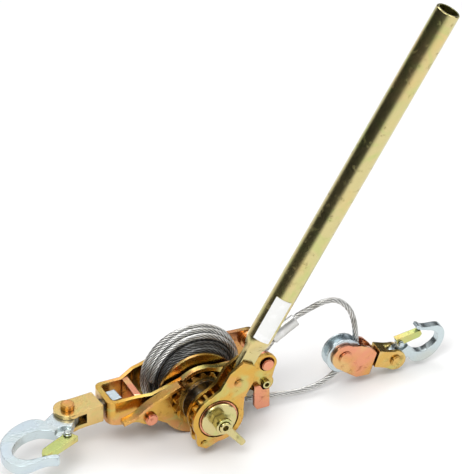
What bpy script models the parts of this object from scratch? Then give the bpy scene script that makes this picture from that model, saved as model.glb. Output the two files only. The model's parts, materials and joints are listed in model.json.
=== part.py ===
"""Double-line ratchet wire rope puller.

The drum turns on a cross shaft along Y, the fixed hook is at the -X end, the rope leaves at +X and the
handle side faces -Y. Places are counted from the drum's axis; "out" is the distance towards the handle
side, so y = -out. At the end the whole model is set down with the middle of its footprint at the origin.
"""

import math

import bmesh
import bpy
from mathutils import Matrix, Vector

MM = 0.001
GAP = 0.3 * MM                      # clearance between pieces that touch
WELD = 0.00001                      # merge distance of welded meshes

# place of the drum's axis above the middle of the footprint
DRUM_X = -24.4 * MM
DRUM_Y = 26.25 * MM

# wire rope
ROPE_R = 3.0 * MM

# frame
DRUM_HALF = 15.5 * MM               # half the width between the drum's flanges
FLANGE_R, FLANGE_T = 42.8 * MM, 3.0 * MM
FLANGE_ROOM = 3.5 * MM              # between a flange and its side plate
PLATE_T = 4.5 * MM
PLATE_OUT = DRUM_HALF + FLANGE_T + FLANGE_ROOM + PLATE_T
STRAP_OUT = 20.0 * MM               # outer half width at the closed end
END_X = -97.0 * MM                  # outer face of the closed end
END_T = 6.0 * MM
END_CORNER_R = 8.0 * MM
JOG_START_X = -68.0 * MM
JOG_END_X = -53.0 * MM
BAR_TOP = 11.0 * MM
BAR_BOTTOM = -14.0 * MM
BOSS_R = 31.0 * MM                  # plate above the shaft
LOBE_R = 43.8 * MM                  # plate below the shaft
LOBE_FLAT = 8.0                     # half of the flat under the lobe, in degrees round the shaft
DRUM_Z = LOBE_R * math.cos(math.radians(LOBE_FLAT))
LUG_X, LUG_Z, LUG_R = 73.0 * MM, 16.3 * MM, 10.8 * MM
BUMP_X, BUMP_Z, BUMP_R = 71.0 * MM, -6.0 * MM, 9.0 * MM
WEB_X, WEB_T = -64.0 * MM, 7.0 * MM
STUD_Z = -2.0 * MM                  # axis of the fixed hook's swivel
TIE_R, TIE_HOLE_R, TIE_COLLAR_R = 6.3 * MM, 8.2 * MM, 9.5 * MM
TIE_STANDS_OUT = 3.5 * MM
GUIDE_X, GUIDE_WIDTH = 65.5 * MM, 16.5 * MM
GUIDE_TOP, GUIDE_BOTTOM = -8.0 * MM, -33.0 * MM
GUIDE_T = 4.0 * MM

# drum and brake stack, as distances out from the middle plane
SHAFT_R = 9.0 * MM
SHAFT_END_R = 6.0 * MM
BUSH_R = 12.3 * MM
CORE_R = 18.0 * MM
WOUND_HALF_X, WOUND_HALF_Z = 52.0 * MM, 48.0 * MM
WOUND_X, WOUND_Z = 3.0 * MM, 8.3 * MM
WOUND_STEP_SHARE = 0.83
RATCHET_ROOT_R, RATCHET_TIP_R, RATCHET_T = 26.0 * MM, 31.0 * MM, 6.0 * MM
RATCHET_OUT = PLATE_OUT + 1.8 * MM
FRICTION_R, FRICTION_T = 24.5 * MM, 1.2 * MM
HUB_FLANGE_R, HUB_FLANGE_T, HUB_R = 24.7 * MM, 3.0 * MM, 15.0 * MM
CHEEK_T = 3.5 * MM
FAR_CHEEK_OUT = RATCHET_OUT + 26.5 * MM     # inner face of the cheek nearer the frame
YOKE_GAP = 9.7 * MM                 # room between the cheeks
DRIVE_ROOT_R, DRIVE_TIP_R = 22.3 * MM, 26.3 * MM
RING_R, CAP_R, CAP_T = 20.6 * MM, 19.0 * MM, 2.9 * MM
TEETH = 18
NUT_R, NUT_T = 8.6 * MM, 7.5 * MM
SHAFT_NEAR_END = FAR_CHEEK_OUT + 34.7 * MM
SHAFT_FAR_END = PLATE_OUT + 10.5 * MM

# handle
HANDLE_TILT = math.radians(58.9)    # above +X
HANDLE_REACH = 490.0 * MM           # drum axis to the open end of the tube
TUBE_R, TUBE_WALL = 13.0 * MM, 2.5 * MM
TONGUE_START, TONGUE_FULL, TUBE_FULL = 54.0 * MM, 76.0 * MM, 94.0 * MM
TONGUE_HALF_WIDTH = 8.8 * MM
CHEEK_R, CHEEK_HOLE_R = 27.5 * MM, 22.0 * MM
NECK_HALF_WIDTH = 15.0 * MM
NECK_START, NECK_END, CHEEK_TOP = 30.0 * MM, 50.0 * MM, 66.0 * MM
CHEEK_TOP_HALF_WIDTH = 7.0 * MM
TAB_REACH, TAB_HALF_WIDTH = 35.0 * MM, 8.0 * MM
TAB_RIVET_REACH, DRIVE_PIN_REACH = 30.2 * MM, 43.0 * MM
RIVET_R, RIVET_HEAD_R, RIVET_HEAD_T = 2.4 * MM, 4.0 * MM, 1.6 * MM
LABEL_START, LABEL_END, LABEL_T = 95.0 * MM, 144.5 * MM, 0.5 * MM

# holding pawl
PAWL_T, PAWL_LEAF_WIDTH, PAWL_LEAF_T = 4.5 * MM, 10.0 * MM, 3.4 * MM
PAWL_TIP_ANGLE = math.radians(135.0)
PAWL_PIVOT_X, PAWL_PIVOT_Z = -57.0 * MM, -8.0 * MM
PAWL_HUB_R, PAWL_BOLT_R, PAWL_HEAD_R = 7.0 * MM, 4.0 * MM, 6.6 * MM

# pulley block, on its own axis from the sheave's pin
BLOCK_X, BLOCK_OUT, BLOCK_Z = 161.2 * MM, 12.0 * MM, -5.0 * MM
BLOCK_DROOP = math.radians(20.0)
SHEAVE_R, SHEAVE_PITCH_R, SHEAVE_T = 19.2 * MM, 15.5 * MM, 14.0 * MM
BLOCK_PLATE_T, BLOCK_END = 3.0 * MM, 36.0 * MM
BLOCK_NOSE_R = 14.2 * MM
BLOCK_INNER_HALF = 7.4 * MM

COLOURS = {
    "gold": (0.62, 0.42, 0.14, 0.32, 0.9),
    "rose": (0.66, 0.32, 0.22, 0.32, 0.9),
    "olive": (0.50, 0.42, 0.18, 0.30, 0.9),
    "silver": (0.60, 0.65, 0.66, 0.28, 0.9),
    "rope": (0.42, 0.42, 0.42, 0.45, 0.8),
    "black": (0.03, 0.028, 0.025, 0.5, 0.4),
    "aluminium": (0.75, 0.75, 0.74, 0.4, 0.9),
    "white": (0.9, 0.9, 0.9, 0.5, 0.0),
}

parts = None
cutters = None
standing = []                       # objects and empties placed from the drum's axis


# ---------------------------------------------------------------- helpers

def clear_scene():
    for thing in list(bpy.data.objects):
        bpy.data.objects.remove(thing, do_unlink=True)


def finish_of(name):
    material = bpy.data.materials.get(name)
    if material is None:
        red, green, blue, roughness, metallic = COLOURS[name]
        material = bpy.data.materials.new(name)
        material.use_nodes = True
        shader = material.node_tree.nodes["Principled BSDF"]
        shader.inputs["Base Color"].default_value = (red, green, blue, 1.0)
        shader.inputs["Roughness"].default_value = roughness
        shader.inputs["Metallic"].default_value = metallic
    return material


def add_part(name, data, colour, parent=None):
    thing = bpy.data.objects.new(name, data)
    parts.objects.link(thing)
    data.materials.append(finish_of(colour).copy())
    data.materials[0].name = name + "_finish"
    thing.parent = parent
    if parent is None:
        standing.append(thing)
    return thing


def add_frame(name, place, rotation, parent=None):
    """An empty that carries the pieces of one moving group."""
    empty = bpy.data.objects.new(name, None)
    parts.objects.link(empty)
    empty.location = place
    empty.rotation_euler = rotation
    empty.parent = parent
    if parent is None:
        standing.append(empty)
    return empty


def stand(thing, x, out, z, turn=0.0):
    """Stands a flat piece up across the drum's axis: its own +Z faces the handle side."""
    thing.location = (x, -out, z)
    thing.rotation_euler = (math.pi / 2, -turn, 0.0)
    return thing


def along_x(thing, x, y, z):
    """Points a turned piece's own +Z along +X."""
    thing.location = (x, y, z)
    thing.rotation_euler = (0.0, math.pi / 2, 0.0)
    return thing


def polar(radius, angle, centre=(0.0, 0.0)):
    return (centre[0] + radius * math.cos(angle), centre[1] + radius * math.sin(angle))


def arc(centre, radius, start, end, steps):
    """Points of an arc from start to end, in degrees."""
    return [
        polar(radius, math.radians(start + (end - start) * i / steps), centre)
        for i in range(steps + 1)
    ]


def circle(centre, radius, steps=24):
    return arc(centre, radius, 0.0, 360.0 * (steps - 1) / steps, steps - 1)


def outline_mesh(name, loops, thickness):
    """A flat plate with holes: a filled 2D curve, made a mesh with its caps welded."""
    curve = bpy.data.curves.new(name, "CURVE")
    curve.dimensions = "2D"
    curve.fill_mode = "BOTH"
    curve.extrude = thickness / 2
    for loop in loops:
        spline = curve.splines.new("POLY")
        spline.points.add(len(loop) - 1)
        for point, (x, y) in zip(spline.points, loop):
            point.co = (x, y, 0.0, 1.0)
        spline.use_cyclic_u = True
    return mesh_of_curve(name, curve)


def mesh_of_curve(name, curve):
    guide = bpy.data.objects.new(name, curve)
    parts.objects.link(guide)
    graph = bpy.context.evaluated_depsgraph_get()
    mesh = bpy.data.meshes.new_from_object(guide.evaluated_get(graph))
    mesh.name = name
    bpy.data.objects.remove(guide, do_unlink=True)
    shell = bmesh.new()
    shell.from_mesh(mesh)
    bmesh.ops.remove_doubles(shell, verts=shell.verts, dist=WELD)
    bmesh.ops.recalc_face_normals(shell, faces=shell.faces)
    shell.to_mesh(mesh)
    shell.free()
    return mesh


def plate(name, loops, thickness, colour, parent=None):
    return add_part(name, outline_mesh(name, loops, thickness), colour, parent)


def rounded(mesh):
    mesh.shade_smooth()
    mesh.set_sharp_from_angle(angle=math.radians(35.0))


def turned(name, profile, colour, parent=None, steps=24):
    """A turned piece about its own Z. The profile starts at the top and runs down its outer side."""
    mesh = bpy.data.meshes.new(name)
    shell = bmesh.new()
    corners = [shell.verts.new((radius, 0.0, height)) for radius, height in profile]
    for first, second in zip(corners, corners[1:]):
        shell.edges.new((first, second))
    if profile[0][0] > WELD:
        shell.edges.new((corners[-1], corners[0]))
    shell.to_mesh(mesh)
    shell.free()
    thing = add_part(name, mesh, colour, parent)
    screw = thing.modifiers.new("turn", "SCREW")
    screw.steps = steps
    screw.render_steps = steps
    screw.use_merge_vertices = True
    screw.merge_threshold = WELD
    screw.use_smooth_shade = True
    return thing


def ring_profile(outer, inner, low, high):
    return [(inner, high), (outer, high), (outer, low), (inner, low)]


def rod_profile(stages):
    """A solid rod from stages of (radius, low, high), the highest first."""
    points = [(0.0, stages[0][2])]
    for radius, low, high in stages:
        points += [(radius, high), (radius, low)]
    return points + [(0.0, stages[-1][1])]


def tube(name, route, radius, colour, parent=None, resolution=2):
    curve = bpy.data.curves.new(name, "CURVE")
    curve.dimensions = "3D"
    curve.bevel_depth = radius
    curve.bevel_resolution = resolution
    curve.use_fill_caps = True
    spline = curve.splines.new("POLY")
    spline.points.add(len(route) - 1)
    for point, place in zip(spline.points, route):
        point.co = (*place, 1.0)
    return add_part(name, mesh_of_curve(name, curve), colour, parent)


def block(name, low, high, colour, parent=None):
    mesh = bpy.data.meshes.new(name)
    shell = bmesh.new()
    bmesh.ops.create_cube(shell, size=1.0)
    size = Vector(high) - Vector(low)
    middle = (Vector(high) + Vector(low)) / 2
    bmesh.ops.scale(shell, vec=size, verts=shell.verts)
    bmesh.ops.translate(shell, vec=middle, verts=shell.verts)
    shell.to_mesh(mesh)
    shell.free()
    return add_part(name, mesh, colour, parent)


def soften(thing, width, segments=1):
    bevel = thing.modifiers.new("edges", "BEVEL")
    bevel.width = width
    bevel.segments = segments
    bevel.limit_method = "ANGLE"
    bevel.angle_limit = math.radians(40.0)


def make_cutter(name, data, like=None):
    tool = bpy.data.objects.new(name, data)
    cutters.objects.link(tool)
    tool.hide_render = True
    tool.display_type = "WIRE"
    if like is None:
        standing.append(tool)
    else:
        tool.parent = like
    return tool


def round_cutter(name, radius, depth, parent=None, steps=24):
    mesh = bpy.data.meshes.new(name)
    shell = bmesh.new()
    bmesh.ops.create_cone(
        shell, cap_ends=True, segments=steps, radius1=radius, radius2=radius, depth=depth
    )
    shell.to_mesh(mesh)
    shell.free()
    return make_cutter(name, mesh, parent)


def box_cutter(name, low, high, parent=None):
    mesh = bpy.data.meshes.new(name)
    shell = bmesh.new()
    bmesh.ops.create_cube(shell, size=1.0)
    bmesh.ops.scale(shell, vec=Vector(high) - Vector(low), verts=shell.verts)
    bmesh.ops.translate(shell, vec=(Vector(high) + Vector(low)) / 2, verts=shell.verts)
    shell.to_mesh(mesh)
    shell.free()
    return make_cutter(name, mesh, parent)


def combine(thing, tool, operation="DIFFERENCE"):
    step = thing.modifiers.new(tool.name, "BOOLEAN")
    step.operation = operation
    step.solver = "EXACT"
    step.object = tool


def smooth_route(points, spacing):
    """A smooth curve through the chosen points, read at even spacing (centripetal spline)."""
    ends = [2 * Vector(points[0]) - Vector(points[1])]
    ends += [Vector(p) for p in points]
    ends += [2 * Vector(points[-1]) - Vector(points[-2])]
    fine = []
    steps = 12
    for a, b, c, d in zip(ends, ends[1:], ends[2:], ends[3:]):
        t1 = math.sqrt((b - a).length)
        t2 = t1 + math.sqrt((c - b).length)
        t3 = t2 + math.sqrt((d - c).length)
        for i in range(steps):
            t = t1 + (t2 - t1) * i / steps
            low = a.lerp(b, t / t1)
            middle = b.lerp(c, (t - t1) / (t2 - t1))
            high = c.lerp(d, (t - t2) / (t3 - t2))
            first = low.lerp(middle, t / t2)
            second = middle.lerp(high, (t - t1) / (t3 - t1))
            fine.append(first.lerp(second, (t - t1) / (t2 - t1)))
    fine.append(ends[-2])
    lengths = [0.0]
    for first, second in zip(fine, fine[1:]):
        lengths.append(lengths[-1] + (second - first).length)
    count = max(2, round(lengths[-1] / spacing))
    route = []
    at = 0
    for i in range(count + 1):
        want = lengths[-1] * i / count
        while at < len(lengths) - 2 and lengths[at + 1] < want:
            at += 1
        share = (want - lengths[at]) / (lengths[at + 1] - lengths[at])
        route.append(fine[at].lerp(fine[at + 1], share))
    return route


def ratchet_outline(root, tip, phase):
    """Saw teeth whose steep faces look anticlockwise, seen from the handle side."""
    pitch = 2 * math.pi / TEETH
    points = []
    for tooth in range(TEETH):
        face = phase + tooth * pitch
        points.append(polar(root, face + 0.02 * pitch))
        points.append(polar(tip, face + 0.72 * pitch))
        points.append(polar(tip, face + 0.97 * pitch))
    return points


def hexagon(radius):
    return circle((0.0, 0.0), radius, 6)


# ---------------------------------------------------------------- frame

def plate_side_outline():
    """Side view of both plates: bar, boss over the shaft, lobe under it, lug and bump at the end."""
    left = END_X - GAP
    points = [(left, BAR_BOTTOM), (left, BAR_TOP), (JOG_START_X, BAR_TOP)]
    points += [(JOG_END_X, BAR_TOP + 3.5 * MM), (JOG_END_X + 12 * MM, BAR_TOP + 7.0 * MM)]
    points += arc((0, 0), BOSS_R, 124.0, 80.0, 8)
    points += arc((LUG_X, LUG_Z), LUG_R, 95.0, -35.0, 10)
    points += arc((BUMP_X, BUMP_Z), BUMP_R, 32.0, -70.0, 8)
    points += [(52 * MM, -16.5 * MM), (42 * MM, -18.5 * MM)]
    points += arc((0, 0), LOBE_R, -33.0, -90.0 + LOBE_FLAT, 7)
    points += arc((0, 0), LOBE_R, -90.0 - LOBE_FLAT, -146.0, 7)
    hub = (PAWL_PIVOT_X, PAWL_PIVOT_Z)
    points += arc(hub, PAWL_HUB_R + 6.0 * MM, -45.0, -125.0, 5)
    points += [(JOG_START_X - 10 * MM, BAR_BOTTOM - 4.0 * MM)]
    return points


def strap_plan_outline():
    """Plan view of the bent strap: closed end, jogs outwards, parallel side plates."""
    right = LUG_X + LUG_R + 2.0 * MM
    inner = PLATE_OUT - PLATE_T
    narrow = STRAP_OUT - PLATE_T
    corner = END_X + END_CORNER_R
    side = [(right, PLATE_OUT), (JOG_END_X, PLATE_OUT), (JOG_START_X, STRAP_OUT)]
    side += arc((corner, STRAP_OUT - END_CORNER_R), END_CORNER_R, 90.0, 180.0, 6)
    outer = side + [(x, -y) for x, y in reversed(side)]
    back = [(right, -inner), (JOG_END_X + 1.0 * MM, -inner), (JOG_START_X + 1.0 * MM, -narrow)]
    back += [(END_X + END_T + 3 * MM, -narrow), (END_X + END_T, -narrow + 3 * MM)]
    return outer + back + [(x, -y) for x, y in reversed(back)]


def make_frame_strap():
    strap = plate("frame_strap", [strap_plan_outline()], 140.0 * MM, "gold")
    side = make_cutter("strap_side", outline_mesh("strap_side", [plate_side_outline()], 80.0 * MM))
    stand(side, 0.0, 0.0, 0.0)
    combine(strap, side, "INTERSECT")
    deep = 90.0 * MM
    for name, x, z, radius in (
        ("shaft_holes", 0.0, 0.0, BUSH_R + GAP),
        ("tie_holes", LUG_X, LUG_Z, TIE_HOLE_R),
    ):
        hole = round_cutter(name, radius, deep)
        stand(hole, x, 0.0, z)
        combine(strap, hole)
    for name, x, z, radius in (
        ("pawl_bolt_hole", PAWL_PIVOT_X, PAWL_PIVOT_Z, PAWL_BOLT_R + GAP),
        ("spring_pin_hole", BUMP_X, BUMP_Z, 4.2 * MM + GAP),
        ("guide_bolt_hole", 52.5 * MM, -11.0 * MM, 3.0 * MM + GAP),
    ):
        hole = round_cutter(name, radius, 30 * MM, steps=20)
        stand(hole, x, PLATE_OUT - 5 * MM, z)
        combine(strap, hole)
    stud_hole = round_cutter("stud_hole", 6.9 * MM, 30 * MM, steps=24)
    along_x(stud_hole, END_X, 0.0, STUD_Z)
    combine(strap, stud_hole)


def make_frame_fittings():
    inner = PLATE_OUT - PLATE_T
    narrow = STRAP_OUT - PLATE_T - GAP
    slope = (PLATE_OUT - STRAP_OUT) / (JOG_END_X - JOG_START_X)
    left, right = WEB_X - WEB_T / 2, WEB_X + WEB_T / 2
    wide = narrow + (right - JOG_START_X - 1.0 * MM) * slope - GAP
    outline = [(left, -narrow), (right, -wide), (right, wide), (left, narrow)]
    web = plate("cross_web", [outline], BAR_TOP - BAR_BOTTOM - 1 * MM, "rose")
    web.location.z = (BAR_TOP + BAR_BOTTOM) / 2 + 1.5 * MM
    soften(web, 0.8 * MM)
    collar_low, collar_high = inner - 4.5 * MM, inner - GAP
    end = PLATE_OUT + TIE_STANDS_OUT
    tie = turned(
        "tie_bar",
        rod_profile(
            [
                (TIE_R - 0.8 * MM, end - 0.8 * MM, end),
                (TIE_R, collar_high, end - 0.8 * MM),
                (TIE_COLLAR_R, collar_low, collar_high),
                (TIE_R, -collar_low, collar_low),
                (TIE_COLLAR_R, -collar_high, -collar_low),
                (TIE_R, -end, -collar_high),
            ]
        ),
        "rose",
        steps=20,
    )
    stand(tie, LUG_X, 0.0, LUG_Z)
    half = GUIDE_WIDTH / 2
    for name, out in (
        ("rope_guide_near", PLATE_OUT + GAP + GUIDE_T / 2),
        ("rope_guide_far", -(PLATE_OUT + GAP + GUIDE_T / 2)),
    ):
        bottom = GUIDE_BOTTOM - GUIDE_TOP
        loop = [
            (-half, 3.5 * MM), (-2 * MM, 3.0 * MM), (1 * MM, -2.6 * MM), (half, -3 * MM),
            (half, bottom + 1 * MM), (half - 1 * MM, bottom), (-half + 3 * MM, bottom), (-half, bottom + 4 * MM),
        ]
        leg = plate(name, [loop], GUIDE_T, "rose")
        stand(leg, GUIDE_X, out, GUIDE_TOP)
        socket = round_cutter("roller_socket_" + name[-4:], 3.0 * MM + GAP, 2 * GUIDE_T, steps=16)
        sign = 1.0 if out > 0 else -1.0
        stand(socket, GUIDE_X, sign * (PLATE_OUT + GAP + 2.4 * MM - GUIDE_T), GUIDE_TOP - 17.5 * MM)
        combine(leg, socket)
    roller_end = PLATE_OUT + 2.2 * MM
    roller = turned(
        "rope_guide_roller",
        rod_profile(
            [
                (3.0 * MM, inner - GAP, roller_end),
                (4.0 * MM, -inner + GAP, inner - GAP),
                (3.0 * MM, -roller_end, -inner + GAP),
            ]
        ),
        "silver",
        steps=20,
    )
    stand(roller, GUIDE_X, 0.0, GUIDE_TOP - 17.5 * MM)
    bolt = turned(
        "guide_bolt",
        rod_profile([(4.0 * MM, PLATE_OUT + GAP, PLATE_OUT + 4 * MM), (3 * MM, inner - 3 * MM, PLATE_OUT + GAP)]),
        "black",
        steps=12,
    )
    stand(bolt, 52.5 * MM, 0.0, -11.0 * MM)
    pin = turned(
        "spring_pin",
        ring_profile(4.2 * MM, 2.4 * MM, inner - 2 * MM, PLATE_OUT + 4.5 * MM),
        "olive",
        steps=20,
    )
    stand(pin, BUMP_X, 0.0, BUMP_Z)
    for name, sign in (("shaft_bush_near", 1), ("shaft_bush_far", -1)):
        low, high = sorted((sign * (inner - 0.5 * MM), sign * (PLATE_OUT + 0.5 * MM)))
        bush = turned(name, ring_profile(BUSH_R, SHAFT_R + GAP / 3, low, high), "gold", steps=24)
        stand(bush, 0.0, 0.0, 0.0)
    outer_run = arc((0, 0), BOSS_R + 5.2 * MM, 128.0, 68.0, 9)
    inner_run = arc((0, 0), RATCHET_TIP_R + 1.2 * MM, 44.0, 128.0, 12)
    loop = outer_run + [(27.5 * MM, 31.0 * MM), (26.0 * MM, 21.5 * MM)] + inner_run
    guard_plate = plate("ratchet_guard", [loop], 6.2 * MM, "gold")
    stand(guard_plate, 0.0, PLATE_OUT + GAP + 3.1 * MM, 0.0)


def make_pawl():
    """Holding pawl with its pivot bolt and spring. The pawl's origin is on its pivot."""
    pivot = (PAWL_PIVOT_X, PAWL_PIVOT_Z)
    face = PAWL_TIP_ANGLE + math.radians(1.2)
    low_tip = polar(RATCHET_TIP_R + 2 * GAP, face)
    high_tip = polar(RATCHET_TIP_R + 6.0 * MM, face)
    crest = [(-50, 16.0), (-60, 11.5), (-66, 7.6), (-72, 3.2), (-78, 0.2), (-88, -2.5)]
    crest = [high_tip] + [(x * MM, z * MM) for x, z in crest]
    under = [(x, z - PAWL_LEAF_T) for x, z in crest]
    under[0] = polar(RATCHET_TIP_R + 2.2 * MM, face)
    web = crest + [(-88 * MM, -7.0 * MM), (-74 * MM, -6.5 * MM)]
    web += arc(pivot, PAWL_HUB_R, 170.0, 380.0, 12) + [(-46 * MM, 8.5 * MM), low_tip]
    hole = circle((0.0, 0.0), PAWL_BOLT_R + GAP, 20)
    local = [(x - pivot[0], z - pivot[1]) for x, z in web]
    pawl = plate("holding_pawl", [local, hole], PAWL_LEAF_WIDTH, "gold")
    low = RATCHET_OUT + GAP
    stand(pawl, pivot[0], low + PAWL_LEAF_WIDTH / 2, pivot[1])
    past_tip = (under[0][0] + 10.0 * MM, under[0][1] + 4.0 * MM)
    past_tail = (under[-1][0] - 10.0 * MM, under[-1][1])
    below = [(past_tail[0], -40.0 * MM), (past_tip[0], -40.0 * MM)]
    relief = [(x - pivot[0], z - pivot[1]) for x, z in [past_tip] + under + [past_tail] + below]
    relief_tool = make_cutter("pawl_relief", outline_mesh("pawl_relief", [relief], PAWL_LEAF_WIDTH))
    stand(relief_tool, pivot[0], low + PAWL_T + PAWL_LEAF_WIDTH / 2, pivot[1])
    combine(pawl, relief_tool)
    inner = PLATE_OUT - PLATE_T
    head_low = low + PAWL_T + GAP
    bolt = turned(
        "pawl_bolt",
        rod_profile(
            [
                (PAWL_HEAD_R - 1.0 * MM, head_low + 3.2 * MM, head_low + 4.2 * MM),
                (PAWL_HEAD_R, head_low, head_low + 3.2 * MM),
                (PAWL_BOLT_R, inner - 2.5 * MM, head_low),
            ]
        ),
        "rose",
        steps=20,
    )
    stand(bolt, pivot[0], 0.0, pivot[1])
    spring = turned(
        "pawl_spring",
        ring_profile(6.2 * MM, PAWL_BOLT_R + GAP, PLATE_OUT + GAP, low - GAP),
        "silver",
        steps=20,
    )
    stand(spring, pivot[0], 0.0, pivot[1])


def make_rope():
    """Eye round the tie bar, crimped ferrule and the free rope round the sheave."""
    tilt = math.radians(30.0)
    ahead = Vector((math.cos(tilt), 0.0, math.sin(tilt)))
    across = Vector((-math.sin(tilt), 0.0, math.cos(tilt)))
    bar = Vector((LUG_X, 0.0, LUG_Z))
    eye_r = TIE_R + GAP + ROPE_R
    strand = ROPE_R + 0.4 * MM
    start, length = 19.5 * MM, 30.5 * MM
    turn = [bar + ahead * (start - GAP) + across * strand]
    turn.append(turn[0] - ahead * 3.0 * MM)
    for step in range(13):
        angle = math.radians(62.0 + (360.0 - 124.0) * step / 12)
        turn.append(bar + (ahead * math.cos(angle) + across * math.sin(angle)) * eye_r)
    turn.append(bar + ahead * (start - GAP - 3.0 * MM) - across * strand)
    turn.append(bar + ahead * (start - GAP) - across * strand)
    tube("rope_eye", turn, ROPE_R, "rope")
    mesh = bpy.data.meshes.new("rope_ferrule")
    shell = bmesh.new()
    bmesh.ops.create_cone(
        shell, cap_ends=True, segments=20, radius1=6.6 * MM, radius2=6.0 * MM, depth=length
    )
    bmesh.ops.scale(shell, vec=(1.25, 0.8, 1.0), verts=shell.verts)
    shell.to_mesh(mesh)
    shell.free()
    ferrule = add_part("rope_ferrule", mesh, "aluminium")
    ferrule.location = bar + ahead * (start + length / 2)
    ferrule.rotation_euler = (0.0, math.pi / 2 - tilt, 0.0)
    soften(ferrule, 0.8 * MM)
    leave = bar + ahead * (start + length + GAP) + across * 2.4 * MM
    sheave = Vector((BLOCK_X, -BLOCK_OUT, BLOCK_Z))
    wrap = []
    for angle in (-72, -58, -44, -30, -16, -3):
        x, z = polar(SHEAVE_PITCH_R, math.radians(angle))
        wrap.append(sheave + Vector((x, 0.0, z)))
    lower = [
        (GUIDE_X - 8.0 * MM, -9.0 * MM, -33.4 * MM),
        (GUIDE_X + 6.0 * MM, -10.0 * MM, -34.2 * MM),
        (84.0 * MM, -11.0 * MM, -35.4 * MM),
        (97.0 * MM, -13.0 * MM, -36.1 * MM),
        (111.0 * MM, -14.4 * MM, -36.6 * MM),
        (123.5 * MM, -14.4 * MM, -36.6 * MM),
        (135.0 * MM, -13.6 * MM, -35.4 * MM),
        (146.5 * MM, -12.6 * MM, -31.6 * MM),
        (156.0 * MM, -12.0 * MM, -25.8 * MM),
    ]
    upper = [
        (176.8 * MM, -11.7 * MM, 6.0 * MM),
        (176.6 * MM, -11.0 * MM, 17.0 * MM),
        (175.5 * MM, -9.7 * MM, 28.6 * MM),
        (172.6 * MM, -8.5 * MM, 39.8 * MM),
        (168.4 * MM, -7.5 * MM, 47.2 * MM),
        (162.7 * MM, -6.5 * MM, 53.4 * MM),
        (156.0 * MM, -5.5 * MM, 56.9 * MM),
        (149.0 * MM, -4.5 * MM, 57.6 * MM),
        (139.0 * MM, -3.0 * MM, 55.0 * MM),
        (129.0 * MM, -1.5 * MM, 50.3 * MM),
    ]
    chosen = lower + [tuple(p) for p in wrap] + upper
    chosen += [tuple(leave + ahead * 4 * MM), tuple(leave)]
    tube("wire_rope", smooth_route(chosen, 1.1 * 2 * ROPE_R), ROPE_R, "rope")


# ---------------------------------------------------------------- drum and brake stack

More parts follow.
